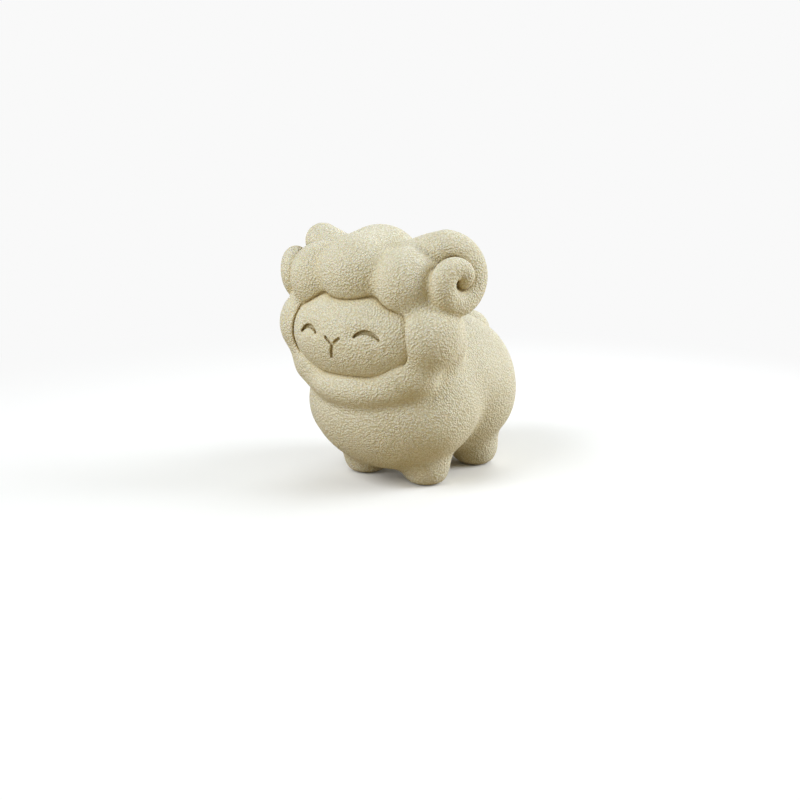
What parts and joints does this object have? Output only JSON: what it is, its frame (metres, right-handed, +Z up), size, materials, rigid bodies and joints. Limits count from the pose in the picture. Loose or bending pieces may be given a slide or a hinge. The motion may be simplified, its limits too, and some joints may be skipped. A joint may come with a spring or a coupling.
{
  "type": "sheep figurine",
  "caption": "Small standing sheep figurine with a rounded body, stub feet, a bun-shaped smiling face, fleece curls and coiled horns, cast in one cream colour.",
  "frame": {"origin": "on the ground under the middle of the bounding box", "axes": "+Z up from the soles, -Y the way the face looks, +X to the sheep's left"},
  "size_m": [0.0594, 0.072, 0.07],
  "materials": {
    "cream_casting": "matt cream with a fine pebbled grain"
  },
  "bodies": {
    "root": {"torso": "cream_casting", "front_left_leg": "cream_casting", "front_right_leg": "cream_casting", "rear_left_leg": "cream_casting", "rear_right_leg": "cream_casting", "tail": "cream_casting", "neck_ruff": "cream_casting", "head": "cream_casting", "face": "cream_casting", "fleece_cap": "cream_casting", "left_horn": "cream_casting", "right_horn": "cream_casting"}
  },
  "joints": []
}
